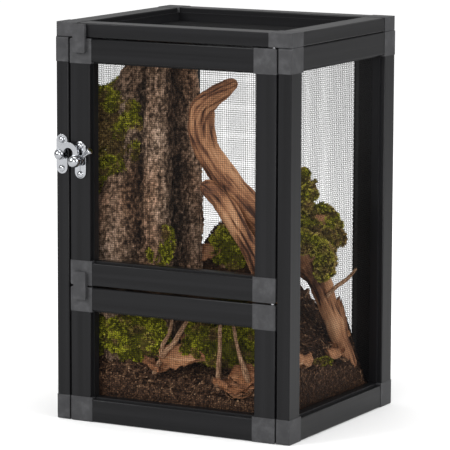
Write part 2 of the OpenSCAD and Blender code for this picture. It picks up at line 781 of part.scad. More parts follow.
// The leaves as [x, y, turn, share of the largest, curl, droop]
LEAVES = [
    [0, -62, 12, 1, 3, 9], [-27, -66, 150, 0.5, 2, 2], [62, -64, 30, 0.7, 3, 5],
    [76, -38, 70, 0.62, 3, 7], [80, 14, 100, 0.5, 2, 3], [-8, 22, 20, 0.7, 3, 6],
    [-26, 40, 200, 0.7, 2, 5], [16, 40, 330, 0.6, 2, 4], [-62, 44, 80, 0.8, 3, 4],
    [-10, 60, 10, 0.6, 2, 3], [52, -20, 120, 0.5, 2, 4]
];

module leaf_litter() {
    color([0.6, 0.36, 0.2]) difference() {
        for (l = LEAVES) leaf(l[0] * kx, l[1] * ky, l[2], leaf_len * l[3], l[4], l[5]);
        trunk_solid(lay_gap);
        driftwood_solid(lay_gap);
        for (c = CUSHIONS) cushion(c[0], c[1] + [1, 1, 1] * lay_gap);
        twig_solids(lay_gap);
    }
}

// The twigs as [foot, tip], stuck in the substrate
TWIGS = [
    [[-25, -70, 43], [2, -66, 79]],
    [[31, -69, 32], [31, -68, 77]],
    [[58, -68, 32], [42, -67, 77]],
    [[75, 22, 92], [85, 54, 111]]
];
module twig_solids(extra = 0) {
    for (t = TWIGS) let (d = laid(t[1] - t[0]))
        translate(laid(t[0])) rotate([0, acos(d[2] / norm(d)), atan2(d[1], d[0])])
            cylinder(r1 = twig_r + extra, r2 = twig_r * 0.7 + extra, h = norm(d), $fn = 9);
}

module twigs() {
    color([0.4, 0.27, 0.18]) difference() {
        twig_solids();
        soil_block(lay_gap);
        driftwood_solid(lay_gap);
        for (c = CUSHIONS) cushion(c[0], c[1] + [1, 1, 1] * lay_gap);
    }
}

// ---- Nodes -----------------------------------------------------------------------

for (p = PANELS) {
    for (i = [0:3])
        difference() { place(p) bar(p, i); drillings(); }
    difference() { place(p) corners(p); drillings(); }
    place(p) mesh_sheet(p);
    place(p) spline(p);
}
floor_board();
panel_dowels();
hinge_pins();
door_stops();
keeper_plate();
keeper_screws();
latch_plate();
latch_screws();
latch_pivot();
latch_arm();
substrate();
trunk();
driftwood();
moss();
leaf_litter();
twigs();
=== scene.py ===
# %% [markdown]
# # A planted mesh terrarium
# The terrarium is six flat screen panels on plugged corner connectors, with a
# swing latch on its door and a planting of bark, driftwood, moss and leaves.
# The rigid pieces come in from the measured model and only get their finish.
# What a machine doesn't cut is modelled here: woven wire, bark, wood and moss.

# %% Load the frame
import math
import random

import bmesh
import bpy
from mathutils import Matrix, Vector, noise
from mathutils.bvhtree import BVHTree


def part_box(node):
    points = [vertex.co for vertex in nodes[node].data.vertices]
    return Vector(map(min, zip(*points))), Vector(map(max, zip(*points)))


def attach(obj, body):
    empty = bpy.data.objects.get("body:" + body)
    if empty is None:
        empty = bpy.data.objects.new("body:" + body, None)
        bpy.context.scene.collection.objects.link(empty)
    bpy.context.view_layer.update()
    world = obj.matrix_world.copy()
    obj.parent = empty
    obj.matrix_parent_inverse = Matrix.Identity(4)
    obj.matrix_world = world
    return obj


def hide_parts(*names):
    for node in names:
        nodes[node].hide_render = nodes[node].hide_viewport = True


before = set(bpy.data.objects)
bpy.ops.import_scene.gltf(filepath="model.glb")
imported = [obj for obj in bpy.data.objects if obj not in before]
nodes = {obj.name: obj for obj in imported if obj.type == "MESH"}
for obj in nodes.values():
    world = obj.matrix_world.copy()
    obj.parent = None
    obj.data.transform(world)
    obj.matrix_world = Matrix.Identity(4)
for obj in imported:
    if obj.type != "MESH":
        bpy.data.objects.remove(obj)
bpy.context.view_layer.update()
MM = 0.001

# %% [markdown]
# ## Camera
# A long lens from about 2.4 m, a little above the lid. Its place was worked out
# from the slopes of the frame's edges, so the picture and the model share one
# view, and nothing has to be moved to fit.

# %% Camera
camera = bpy.data.objects.new("camera", bpy.data.cameras.new("camera"))
bpy.context.scene.collection.objects.link(camera)
camera.location = (1.1256, -2.0828, 0.5112)
AZIMUTH, ELEVATION, ROLL = 28.424, 8.777, 0.2
camera.rotation_euler = (
    Matrix.Rotation(math.radians(AZIMUTH), 3, "Z")
    @ Matrix.Rotation(math.radians(90 - ELEVATION), 3, "X")
    @ Matrix.Rotation(math.radians(ROLL), 3, "Z")
).to_euler()
camera.data.sensor_width = 36
camera.data.lens = 248.95
camera.data.clip_start = 0.1
camera.data.clip_end = 20
bpy.context.scene.camera = camera
bpy.context.scene.view_settings.view_transform = "Standard"
print("camera", round(camera.location.length, 3), "m from the origin")

# %% [markdown]
# ## Helpers for materials
# Each finish is one shader with a few texture nodes in front of it. These
# helpers keep a finish short enough to read: add a node, join two sockets.


# %% Material helpers
def finish_of(name, color, roughness, metallic=0.0, specular=0.5):
    """A new material, as (material, its node tree, its shader)."""
    made = bpy.data.materials.new(name)
    made.use_nodes = True
    shader = made.node_tree.nodes["Principled BSDF"]
    shader.inputs["Base Color"].default_value = (*color, 1)
    shader.inputs["Roughness"].default_value = roughness
    shader.inputs["Metallic"].default_value = metallic
    shader.inputs["Specular IOR Level"].default_value = specular
    return made, made.node_tree, shader


def add(tree, kind, **values):
    """A node of a kind, with its settings and its sockets' values."""
    node = tree.nodes.new("ShaderNode" + kind)
    for key, value in values.items():
        if hasattr(node, key):
            setattr(node, key, value)
        else:
            node.inputs[key.replace("_", " ")].default_value = value
    return node


def place_of(tree, stretch=(1, 1, 1)):
    """Object coordinates, stretched: where a pattern lies."""
    mapping = add(tree, "Mapping", Scale=stretch)
    tree.links.new(add(tree, "TexCoord").outputs["Object"], mapping.inputs["Vector"])
    return mapping.outputs["Vector"]


def attribute(tree, name, kind="Fac"):
    """What a piece's own attribute says at each point."""
    return add(tree, "Attribute", attribute_name=name).outputs[kind]


def grain_place(tree, stretch):
    """The coordinates that a piece had while it was straight, stretched."""
    mapping = add(tree, "Mapping", Scale=stretch)
    tree.links.new(attribute(tree, "straight", "Vector"), mapping.inputs["Vector"])
    return mapping.outputs["Vector"]


def combine(tree, operation, a, b):
    """The sum, the product or the larger one of two values."""
    node = add(tree, "Math", operation=operation)
    tree.links.new(a, node.inputs[0])
    tree.links.new(b, node.inputs[1])
    return node.outputs[0]


def cloud(tree, place, scale, detail=3.0, roughness=0.5, distortion=0.0):
    """Soft noise over a place."""
    node = add(
        tree, "TexNoise", Scale=scale, Detail=detail, Roughness=roughness, Distortion=distortion
    )
    tree.links.new(place, node.inputs["Vector"])
    return node.outputs["Fac"]


def shades(tree, value, *stops):
    """Colours along a value: each stop is (position, colour)."""
    node = add(tree, "ValToRGB")
    ramp = node.color_ramp
    while len(ramp.elements) < len(stops):
        ramp.elements.new(0.5)
    for element, (position, color) in zip(ramp.elements, stops):
        element.position = position
        element.color = (*color, 1)
    tree.links.new(value, node.inputs["Fac"])
    return node.outputs["Color"]


def between(tree, value, low, high, start=0.0, end=1.0):
    """A value from start..end brought to low..high."""
    node = add(tree, "MapRange", From_Min=start, From_Max=end, To_Min=low, To_Max=high)
    tree.links.new(value, node.inputs["Value"])
    return node.outputs["Result"]


def color_along(tree, shader, value, *stops):
    """Base colour along a value."""
    tree.links.new(shades(tree, value, *stops), shader.inputs["Base Color"])


def gloss_along(tree, shader, value, low, high):
    """Roughness from low to high along a value."""
    tree.links.new(between(tree, value, low, high), shader.inputs["Roughness"])


def blend_colors(tree, share, a, b, way="MIX"):
    """Colour b over colour a, by a share from 0 to 1."""
    node = add(tree, "Mix", data_type="RGBA", blend_type=way)
    for socket, value in ((node.inputs[0], share), (node.inputs[6], a), (node.inputs[7], b)):
        if isinstance(value, tuple):
            socket.default_value = (*value, 1)
        else:
            tree.links.new(value, socket)
    return node.outputs[2]


def relief(tree, shader, height, depth):
    """Bump of a depth in metres."""
    node = add(tree, "Bump", Strength=1.0, Distance=depth)
    tree.links.new(height, node.inputs["Height"])
    tree.links.new(node.outputs["Normal"], shader.inputs["Normal"])


# %% [markdown]
# ## Frame profile and connectors
# The bars are black extruded aluminium. Its semi-gloss skin shows faint lines
# along the bar, so the noise is stretched along the bar's own direction. The
# connectors are moulded in a dark grey plastic that is a little mottled.

# %% Profile, connector and other frame finishes
LINE_STRETCH = 0.012


def profile_finish(axis):
    """Black extrusion with its draw lines along an axis."""
    name = "profile_" + "xyz"[axis]
    made, tree, shader = finish_of(name, (0.007, 0.007, 0.008), 0.3, specular=0.16)
    stretch = [1.0, 1.0, 1.0]
    stretch[axis] = LINE_STRETCH
    lines = cloud(tree, place_of(tree, stretch), 900, 4, 0.6)
    bands = cloud(tree, place_of(tree, stretch), 160, 2)
    color_along(tree, shader, bands, (0.3, (0.005, 0.005, 0.0055)), (0.7, (0.01, 0.01, 0.011)))
    gloss_along(tree, shader, lines, 0.22, 0.42)
    relief(tree, shader, lines, 0.00003)
    return made


profiles = [profile_finish(axis) for axis in range(3)]

connector, tree, shader = finish_of("connector_plastic", (0.036, 0.036, 0.038), 0.55, specular=0.25)
mottle = cloud(tree, place_of(tree), 110, 5, 0.62)
grain = cloud(tree, place_of(tree), 2600, 2)
color_along(
    tree, shader, mottle,
    (0.3, (0.026, 0.026, 0.028)), (0.52, (0.036, 0.036, 0.038)), (0.72, (0.056, 0.056, 0.059)),
)
gloss_along(tree, shader, mottle, 0.42, 0.68)
relief(tree, shader, grain, 0.00004)

rubber, tree, shader = finish_of("spline_rubber", (0.012, 0.012, 0.012), 0.75)
relief(tree, shader, cloud(tree, place_of(tree), 1500, 2), 0.00003)

board, tree, shader = finish_of("floor_board", (0.014, 0.014, 0.014), 0.6)
relief(tree, shader, cloud(tree, place_of(tree), 700, 3), 0.00005)

steel, tree, shader = finish_of("pin_steel", (0.5, 0.5, 0.52), 0.3, metallic=1.0)
gloss_along(tree, shader, cloud(tree, place_of(tree), 900), 0.22, 0.4)

chrome, tree, shader = finish_of("latch_chrome", (0.4, 0.41, 0.43), 0.14, metallic=1.0)
gloss_along(tree, shader, cloud(tree, place_of(tree), 260, 3), 0.07, 0.2)

# %% [markdown]
# ## Rigid pieces
# No real edge is perfectly sharp: sawn bars are eased, and moulded and plated
# pieces have a small radius, which catches the light as a thin bright line. A
# weld and a bevel modifier give that radius to the measured piece where it is.
# The name of a node says what it is made of.

# %% Finish the rigid nodes
SAWN_EDGE = 0.0002
MOULDED_EDGE = 0.0003


def soften(node, width, segments=2):
    """Rounds a CAD node's sharp edges, so that they catch the light."""
    weld = node.modifiers.new("weld", "WELD")
    weld.merge_threshold = 0.00001
    bevel = node.modifiers.new("bevel", "BEVEL")
    bevel.width = width
    bevel.segments = segments
    bevel.limit_method = "ANGLE"
    bevel.angle_limit = math.radians(40)
    bevel.harden_normals = False


def paint(node, made):
    """Gives a CAD node one material."""
    node.data.materials.clear()
    node.data.materials.append(made)


for name, node in nodes.items():
    low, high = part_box(name)
    if name.endswith(("_rail", "_stile")):
        size = high - low
        paint(node, profiles[list(size).index(max(size))])
        soften(node, SAWN_EDGE, 1)
    elif name.endswith("_corners") or name == "door_stops":
        paint(node, connector)
        soften(node, MOULDED_EDGE)
    elif name.endswith("_spline"):
        paint(node, rubber)
    elif name == "floor_board":
        paint(node, board)
    elif name in ("panel_dowels", "hinge_pins"):
        paint(node, steel)
    elif name.startswith(("latch_", "keeper_")):
        paint(node, chrome)
        soften(node, MOULDED_EDGE)
print("finished", sum(1 for n in nodes.values() if n.data.materials[0].node_tree), "nodes")

# %% [markdown]
# ## Woven wire mesh
# The mesh is plain weave: each wire runs over one crossing wire and under the
# next. One wire is a small ring, extruded from crossing to crossing with a step
# up or down. A pair of wires in opposite phase, repeated by an Array modifier,
# makes all the wires of one direction.

# %% Weave the mesh
PITCH = 1.6 * MM
WIRE_R = 0.117 * MM
CRIMP = 0.11 * MM
INSET = 0.28 * MM
RIM = 1.0 * MM


def crimped_wire(bm, sides, crossings, start, along, normal, phase):
    """One wire: a ring extruded step by step, over and under the crossings."""
    turn = Matrix((normal.cross(along), normal, along)).transposed().to_4x4()
    turn.translation = start + normal * CRIMP * phase
    ring = bmesh.ops.create_circle(bm, cap_ends=True, segments=sides, radius=WIRE_R, matrix=turn)
    edges = list({e for v in ring["verts"] for e in v.link_edges})
    for step in range(crossings):
        made = bmesh.ops.extrude_edge_only(bm, edges=edges)["geom"]
        verts = [g for g in made if isinstance(g, bmesh.types.BMVert)]
        edges = [g for g in made if isinstance(g, bmesh.types.BMEdge)]
        edges = [g for g in edges if all(v in verts for v in g.verts)]
        phase = -phase
        bmesh.ops.translate(bm, verts=verts, vec=along * PITCH + normal * 2 * CRIMP * phase)
    bmesh.ops.edgeloop_fill(bm, edges=edges)


def link_piece(name, bm, material, body, smooth=True):
    """Makes the finished piece of a bmesh, riding on a body."""
    mesh = bpy.data.meshes.new(name)
    bm.to_mesh(mesh)
    bm.free()
    if smooth:
        mesh.shade_smooth()
    mesh.materials.append(material)
    piece = bpy.data.objects.new(name, mesh)
    bpy.context.scene.collection.objects.link(piece)
    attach(piece, body)
    return piece


wire_black, tree, shader = finish_of("wire_black", (0.006, 0.006, 0.0065), 0.55, specular=0.12)
gloss_along(tree, shader, cloud(tree, place_of(tree), 500), 0.38, 0.6)


def weave(panel, body, normal, sides):
    """Replaces a panel's mesh node by its upright and its cross wires."""
    node = panel + "_mesh"
    low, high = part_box(node)
    inward = Vector(normal)
    n = [abs(x) for x in normal].index(1)
    plane = (high[n] if inward[n] > 0 else low[n]) - inward[n] * INSET
    flat = [a for a in range(3) if a != n]
    count = {a: int((high[a] - low[a] - RIM) / PITCH) // 2 * 2 for a in flat}
    first = {a: (low[a] + high[a] - count[a] * PITCH) / 2 for a in flat}
    for a, b, kind in ((flat[0], flat[1], "cross"), (flat[1], flat[0], "upright")):
        bm = bmesh.new()
        along, step = Vector(), Vector()
        along[a], step[b] = 1, 1
        start = Vector()
        start[n], start[a], start[b] = plane, first[a], first[b] + PITCH / 2
        sign = 1 if kind == "cross" else -1
        crimped_wire(bm, sides, count[a], start, along, inward, sign)
        crimped_wire(bm, sides, count[a], start + step * PITCH, along, inward, -sign)
        bmesh.ops.recalc_face_normals(bm, faces=bm.faces)
        piece = link_piece(f"{panel}_{kind}_wires", bm, wire_black, body)
        array = piece.modifiers.new("wires", "ARRAY")
        array.use_relative_offset = False
        array.use_constant_offset = True
        array.constant_offset_displace = step * PITCH * 2
        array.count = count[b] // 2
        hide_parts(node)


weave("left", "enclosure", (1, 0, 0), 3)
weave("right", "enclosure", (-1, 0, 0), 3)
weave("back", "enclosure", (0, -1, 0), 3)
weave("lid", "enclosure", (0, 0, -1), 4)
weave("door", "door", (0, 1, 0), 4)
weave("lower", "enclosure", (0, 1, 0), 4)

# %% [markdown]
# ## Shapes that grow
# Bark, wood and moss have no flat faces, so each starts as a straight closed
# blank with many rings and is then shaped point by point. The blank keeps its
# straight coordinates as an attribute: a grain that reads them runs along the
# piece, however it bends. All sizes here are in millimetres until the end.

# %% Blanks and ground
TRUNK_AXIS = (-47.5, -18)


def bell(distance, width):
    """A smooth bump: 1 in the middle, near 0 at three widths away."""
    return math.exp(-distance * distance / (2 * width * width))


def ground(x, y):
    """Height of the soil: low in front, with banks behind and a hollow at the rear right."""
    rear_bank = 70 * bell(x - 2, 40) * bell(min(y - 36, 0), 28) * bell(max(y - 60, 0), 20)
    middle_bank = 62 * bell(x + 13, 22) * bell(y - 8, 16)
    rear_right_bank = 28 * bell(x - 64, 11) * bell(y - 76.5, 16)
    front_left_bank = 14 * bell(x + 69, 30) * bell(y + 52.5, 30)
    right_bank = 9 * bell(x - 88, 12) * bell(y + 44, 30)
    front_dip = 11 * bell(y + 76, 8)
    right_dip = 8 * bell(x - 89, 16) * bell(y - 76.5, 44)
    rear_right_hollow = 22 * bell(x - 89, 18) * bell(y - 76.5, 18)
    waves = 1.6 * math.sin(math.radians(9 * x + 40)) * math.cos(math.radians(8 * y))
    return (
        38 + rear_bank + middle_bank + rear_right_bank + front_left_bank + right_bank
        - front_dip - right_dip - rear_right_hollow + waves
    )


def blank(bm, rings, sides):
    """A closed straight tube of radius 1, its rings at z = 0, 1, 2 and so on."""
    line = [bm.verts.new((0, 0, 0))] + [bm.verts.new((1, 0, z)) for z in range(rings)]
    line.append(bm.verts.new((0, 0, rings - 1)))
    edges = [bm.edges.new(pair) for pair in zip(line, line[1:])]
    bmesh.ops.spin(
        bm, geom=line + edges, angle=2 * math.pi, steps=sides,
        axis=(0, 0, 1), cent=(0, 0, 0), use_merge=True,
    )
    bmesh.ops.remove_doubles(bm, verts=bm.verts, dist=1e-4)
    bmesh.ops.recalc_face_normals(bm, faces=bm.faces)
    return bm.verts.layers.float_vector.new("straight"), bm.verts.layers.float.new("relief")


def to_metres(bm):
    """Brings a piece from millimetres to the frame's metres."""
    bmesh.ops.scale(bm, verts=bm.verts, vec=(MM, MM, MM))


def limit(value, low=0.0, high=1.0):
    """A value held between a low and a high one."""
    return max(low, min(high, value))


def ridges(place):
    """Noise with sharp crests: 1 on a crest, near 0 between."""
    return 1 - min(1, abs(noise.noise(place)) * 3)


print("ground at the middle", round(ground(0, 0), 1), "mm")

# %% [markdown]
# ## Bark trunk
# The trunk is a round of rough bark with deep upright folds and a thick root
# at its foot. Its blank is wrapped on the measured trunk: a ray goes inwards at
# each point and stops on it. Folds, long ridges and grains are then added to
# the radius, and what lies low is kept as "relief", which paints the crevices
# darker as painted shade, while the root is kept lighter.

# %% Bark
bark, tree, shader = finish_of("bark", (0.16, 0.105, 0.07), 0.9, specular=0.2)
spots = cloud(tree, place_of(tree, (1, 1, 0.75)), 430, 4, 0.65)
grains = between(tree, spots, -0.34, 0.34, 0.3, 0.7)
# the crust colour follows the relief: painted shade, darker in the crevices
crust = shades(
    tree, combine(tree, "ADD", attribute(tree, "relief"), grains),
    (0.1, (0.012, 0.007, 0.004)), (0.32, (0.07, 0.043, 0.027)), (0.5, (0.21, 0.137, 0.09)),
    (0.7, (0.45, 0.31, 0.22)), (0.95, (0.82, 0.6, 0.45)),
)
stain = cloud(tree, place_of(tree, (1, 1, 0.6)), 34, 4)
stained = between(tree, stain, 0, 0.55, 0.35, 0.65)
tree.links.new(
    blend_colors(tree, stained, crust, (0.32, 0.2, 0.11), "OVERLAY"), shader.inputs["Base Color"]
)
relief(tree, shader, spots, 0.0012)

# the folds as [angle, width in degrees, height]
FOLDS = (
    (-93, 5, -3.6), (-36, 14, -4), (-64, 10, 1.5), (0, 9, 1.2), (60, 9, -3.5), (105, 7, -4),
    (150, 8, -4),
)
SKIN_LEFT, SKIN_FRONT = -88.3, -74


def bark_height(x, y, z, angle):
    """What folds, roughness and swellings add to the trunk's radius."""
    sway = 5 * noise.noise(Vector((0, 0, z * 0.02)))
    folds = sum(
        rise * bell((angle + sway - at + 180) % 360 - 180, wide) for at, wide, rise in FOLDS
    )
    slow = Vector((x * 0.12, y * 0.12, z * 0.045))
    long_ridge = 1.5 * (ridges(slow) - 0.5)
    crack = -1.6 * limit(1 - abs(noise.noise(slow * 1.5 + Vector((9, 3, 5)))) / 0.07)
    lumps = 1.3 * noise.fractal(Vector((x * 0.3, y * 0.3, z * 0.24)), 0.7, 2.1, 4)
    left_lobe = 8.5 * bell((angle + 150 + 180) % 360 - 180, 32)
    left_lobe *= limit((268 - z) / 16) * limit((z - 60) / 40)
    rear_flat = 4 * bell(angle - 28, 42)
    return folds, long_ridge + crack + lumps, left_lobe - rear_flat


def wrap_trunk(node_name, axis, bottom, top, rings, sides):
    """The bark of the trunk, wrapped on the measured solid."""
    source = nodes[node_name]
    solid = BVHTree.FromPolygons(
        [source.matrix_world @ v.co / MM for v in source.data.vertices],
        [p.vertices for p in source.data.polygons],
    )
    bm = bmesh.new()
    straight, low = blank(bm, rings, sides)
    for v in bm.verts:
        z = bottom + (top - bottom) * v.co.z / (rings - 1)
        if math.hypot(v.co.x, v.co.y) < 0.5:
            v.co = (*axis, z)
            continue
        angle = math.atan2(v.co.y, v.co.x)
        way = Vector((math.cos(angle), math.sin(angle), 0))
        centre = Vector((*axis, z))
        place = solid.ray_cast(centre + way * 90, -way)[0]
        fold, rough, shape = bark_height(place.x, place.y, z, math.degrees(angle))
        root = limit(((place - centre).length - 37) / 10)
        v.co = place + way * (fold * (1 - 0.6 * root) + rough + shape - 0.6)
        v.co.x, v.co.y = max(v.co.x, SKIN_LEFT + 0.3 * rough), max(v.co.y, SKIN_FRONT)
        v[straight] = place
        # painted shade: low places in the folds and cracks are darker, and the root is lighter
        v[low] = 0.49 + fold / 16 + rough / 9 + 0.12 * root
    to_metres(bm)
    return link_piece("bark_trunk", bm, bark, "enclosure")


trunk_piece = wrap_trunk("trunk", TRUNK_AXIS, 8.6, 285.6, 240, 200)
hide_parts("trunk")
print("bark trunk:", len(trunk_piece.data.polygons), "faces")

# %% [markdown]
# ## Driftwood
# Water-worn wood has smooth limbs with grooves that run along the grain. Each
# limb follows a smooth line through listed points, each with its radius.

# %% Driftwood
driftwood, tree, shader = finish_of("driftwood", (0.33, 0.15, 0.075), 0.7, specular=0.3)
grain = cloud(tree, grain_place(tree, (1.1, 1.1, 0.09)), 1.0, 5, 0.62, 0.4)
# the relief paints the grooves darker and the knobs lighter as painted shade, over the real grain
grain_and_groove_shade = combine(tree, "ADD", attribute(tree, "relief"), between(tree, grain, -0.3, 0.3))
color_along(
    tree, shader, grain_and_groove_shade,
    (0.12, (0.045, 0.016, 0.008)), (0.34, (0.21, 0.085, 0.038)), (0.55, (0.43, 0.205, 0.098)),
    (0.8, (0.6, 0.335, 0.18)), (0.97, (0.74, 0.5, 0.33)),
)
relief(tree, shader, grain, 0.0005)


def smooth_line(points, count):
    """Evenly many places on a smooth curve through points of any size."""
    places = []
    last = len(points) - 1
    for k in range(count):
        t = k * last / (count - 1)
        i = min(int(t), last - 1)
        t -= i
        p0, p1, p2, p3 = (points[limit(j, 0, last)] for j in (i - 1, i, i + 1, i + 2))
        places.append([
            0.5 * (
                2 * b + (c - a) * t + (2 * a - 5 * b + 4 * c - d) * t * t
                + (3 * b - a - 3 * c + d) * t ** 3
            )
            for a, b, c, d in zip(p0, p1, p2, p3)
        ])
    return places


def grow_limb(bm, points, rings, sides, grooves, seed, rough):
    """A grooved limb with round ends along points [x, y, z, radius]."""
    straight, low = blank(bm, rings, sides)
    line = smooth_line(points, rings)
    spots = [Vector(p[:3]) for p in line]
    gone = [0.0]
    for a, b in zip(spots, spots[1:]):
        gone.append(gone[-1] + (b - a).length)
    frames = []
    for k in range(rings):
        way = (spots[min(k + 1, rings - 1)] - spots[max(k - 1, 0)]).normalized()
        side = way.cross(Vector((0.31, 1, 0.13))).normalized()
        frames.append((side, way.cross(side)))
    for v in bm.verts:
        k = round(v.co.z)
        side, up = frames[k]
        if math.hypot(v.co.x, v.co.y) < 0.5:
            v.co = spots[k]
            v[low] = 0.5
            continue
        angle = math.atan2(v.co.y, v.co.x)
        radius = line[k][3]
        from_end = min(gone[k], gone[-1] - gone[k], radius)
        tip = math.sqrt(limit(1 - (1 - from_end / radius) ** 2, 0.02))
        around = Vector((math.cos(angle), math.sin(angle), 0)) * radius
        flow = around * 0.22 + Vector((seed, 0, gone[k] * 0.02))
        groove = -1.5 * limit(1 - abs(noise.noise(flow)) / 0.16)
        fine = 0.6 * noise.fractal(around * 0.8 + Vector((seed, 5, gone[k] * 0.07)), 0.8, 2.2, 3)
        knob = 1.3 * noise.noise(around * 0.06 + Vector((seed, 9, gone[k] * 0.045)))
        carved = (groove + fine + knob) * rough * min(1, radius / 7)
        wide = (radius * (1 + 0.07 * math.cos(grooves * angle + gone[k] * 0.03)) + carved) * tip
        v.co = spots[k] + wide * (math.cos(angle) * side + math.sin(angle) * up)
        v[straight] = around + Vector((seed * 10, 0, gone[k]))
        # painted shade: grooves darker, knobs lighter
        v[low] = 0.5 + carved / 4
    bmesh.ops.recalc_face_normals(bm, faces=bm.faces)
    return gone[-1]


# each limb as [points, rings, sides, grooves, roughness]
LIMBS = {
    "horn": (
        [
            (28.5, -38, 262, 4), (21.5, -39, 258, 6.2), (10.5, -39, 251.5, 7.6), (1.5, -39, 244, 9),
            (-2, -38.5, 235, 9.6), (-2.5, -38, 225, 10), (-0.5, -37, 214, 9.8),
            (3.5, -36, 204, 9.6),
            (9, -33, 194, 9.8), (15.5, -29, 183, 10.4), (22.5, -23, 172, 11),
            (29.5, -16, 161, 11.6),
            (36.5, -8, 150, 12.4), (43.5, 1, 139, 14), (49.5, 10, 130, 15.5), (54, 16, 125, 15.3),
        ], 230, 48, 3, 1.1,
    ),
    "leg": (
        [
            (52, 8, 140, 11.9), (57, 14, 130, 14.4), (61, 20, 118, 12.5), (65, 25, 107, 9.6),
            (68, 30, 95, 8.2),
            (70.5, 36, 81, 7.6), (73, 42, 66, 7.4), (75.5, 48.5, 50, 7.4), (77, 53, 38, 7.6),
            (78, 56, 28, 7.8),
        ], 150, 44, 3, 1.25,
    ),
    "knuckle": (
        [
            (46, 12, 111, 9), (50, 17, 121, 13.6), (55, 26, 133, 17), (58, 36, 142, 16.2),
            (60, 46, 148, 12.8),
            (61, 54, 151, 7),
        ], 70, 48, 4, 1.0,
    ),
    "rear_leg": (
        [(61, 46, 148, 9), (58, 52, 134, 9), (54, 56, 118, 8.4), (50, 59, 100, 8)], 60, 36, 3, 1.0,
    ),
    "lower_limb": (
        [
            (0.5, -42.5, 183, 4.6), (5.5, -41.5, 180, 7), (11.5, -40.5, 175, 7.8),
            (17.5, -38.5, 168, 7.6),
            (26, -36, 155, 7.2), (34, -32, 139, 7.2), (41.5, -28, 123, 7.4), (49.5, -24, 103, 7.8),
            (56, -21, 83, 8), (61.5, -18, 62, 8), (66, -16, 38, 8),
        ], 170, 36, 3, 1.3,
    ),
}
for number, (name, (points, rings, sides, grooves, rough)) in enumerate(LIMBS.items()):
    bm = bmesh.new()
    length = grow_limb(bm, points, rings, sides, grooves, 3.7 * number + 1, rough=rough)
    to_metres(bm)
    piece = link_piece("wood_" + name, bm, driftwood, "enclosure")
    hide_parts("driftwood")
    print("wood", name, round(length), "mm long")

# %% [markdown]
# ## Soil
# The substrate is dark and crumbly. A fine grid follows the ground, its rim is
# extruded down to the floor board, and small crumbs lie all over it: one crumb
# is made once and copied many times, each copy turned and sized by itself.

# %% Soil
soil, tree, shader = finish_of("soil", (0.04, 0.02, 0.012), 0.95, specular=0.15)
crumbs = cloud(tree, place_of(tree), 330, 6, 0.75)
patches = cloud(tree, place_of(tree), 45, 3)
dirt = shades(
    tree, crumbs,
    (0.32, (0.008, 0.004, 0.003)), (0.48, (0.035, 0.017, 0.009)), (0.62, (0.12, 0.062, 0.034)),
    (0.76, (0.27, 0.155, 0.09)),
)
damp = between(tree, patches, 0, 0.5)
tree.links.new(
    blend_colors(tree, damp, dirt, (0.11, 0.05, 0.03), "SOFT_LIGHT"), shader.inputs["Base Color"]
)
relief(tree, shader, crumbs, 0.0015)

HALF_X, HALF_Y, BOARD_Z = 87.6, 75.0, 8.2
bm = bmesh.new()
bmesh.ops.create_grid(bm, x_segments=150, y_segments=128, size=1)
for v in bm.verts:
    x, y = v.co.x * HALF_X, v.co.y * HALF_Y
    rough = 1.6 * noise.fractal(Vector((x * 0.16, y * 0.16, 3)), 0.7, 2.1, 4)
    rough += 0.7 * noise.noise(Vector((x, y, 1)) * 0.7)
    edge = max(abs(x) / HALF_X, abs(y) / HALF_Y) > 0.999
    v.co = (x, y, ground(x, y) - 0.6 + (0 if edge else rough))
rim = [e for e in bm.edges if e.is_boundary]
made = bmesh.ops.extrude_edge_only(bm, edges=rim)["geom"]
for v in made:
    if isinstance(v, bmesh.types.BMVert):
        v.co.z = BOARD_Z
bmesh.ops.edgeloop_fill(bm, edges=[e for e in bm.edges if e.is_boundary])
bmesh.ops.recalc_face_normals(bm, faces=bm.faces)
to_metres(bm)
soil_piece = link_piece("soil", bm, soil, "enclosure")
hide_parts("substrate")
print("soil:", len(soil_piece.data.polygons), "faces")

# %% [markdown]
# ## Moss
# Cushion moss is thousands of tiny leafy tips. A mat is a cluster of small lumps
# that grow into each other, each under a coat of tufts. A tuft is four slim
# cones that lean outwards, and it is copied over the lumps, each copy with its
# own size, lean and tone. Each tuft is painted dark at its foot and bright at
# its tip, and the lumps under them are painted dark, as painted shade, so the
# mat shows bright tips over dark gaps.

# %% Moss
TUFTS_PER_MM2 = 0.29
MOSS_LEFT, MOSS_RIGHT, MOSS_DEPTH = -86.5, 86, 73.5


def moss_finish(name, dry_from, dry_to):
    """Moss with dry brown patches where its drifting noise passes a level."""
    made, tree, shader = finish_of(name, (0.2, 0.22, 0.03), 0.85, specular=0.1)
    # the tone runs from the dark lumps and the tufts' feet to their bright tips: painted shade
    tone = attribute(tree, "relief")
    drift = cloud(tree, place_of(tree), 75, 3, 0.6)
    green = shades(
        tree, tone,
        (0.02, (0.02, 0.018, 0.002)), (0.3, (0.18, 0.175, 0.01)), (0.62, (0.52, 0.52, 0.025)),
        (1.0, (0.9, 0.88, 0.1)),
    )
    brown = shades(
        tree, tone,
        (0.02, (0.022, 0.013, 0.005)), (0.4, (0.26, 0.165, 0.05)), (1.0, (0.7, 0.5, 0.2)),
    )
    dry = shades(tree, drift, (dry_from, (0, 0, 0)), (dry_to, (1, 1, 1)))
    tree.links.new(blend_colors(tree, dry, green, brown), shader.inputs["Base Color"])
    return made


moss = moss_finish("moss", 0.52, 0.64)
mixed_moss = moss_finish("mixed_moss", 0.4, 0.62)
dry_moss = moss_finish("dry_moss", 0.32, 0.5)

chance = random.Random(41)


def pattern_mesh(name, build):
    """A small shape made once, to be copied many times."""
    bm = bmesh.new()
    tone_and_shade_layer = bm.verts.layers.float.new("relief")
    build(bm)
    low, top = min(v.co.z for v in bm.verts), max(v.co.z for v in bm.verts)
    # the tone rises from the bottom to the top of the shape: painted shade, dark low and light high
    for v in bm.verts:
        v[tone_and_shade_layer] = (v.co.z - low) / (top - low)
    mesh = bpy.data.meshes.new(name)
    bm.to_mesh(mesh)
    bm.free()
    return mesh


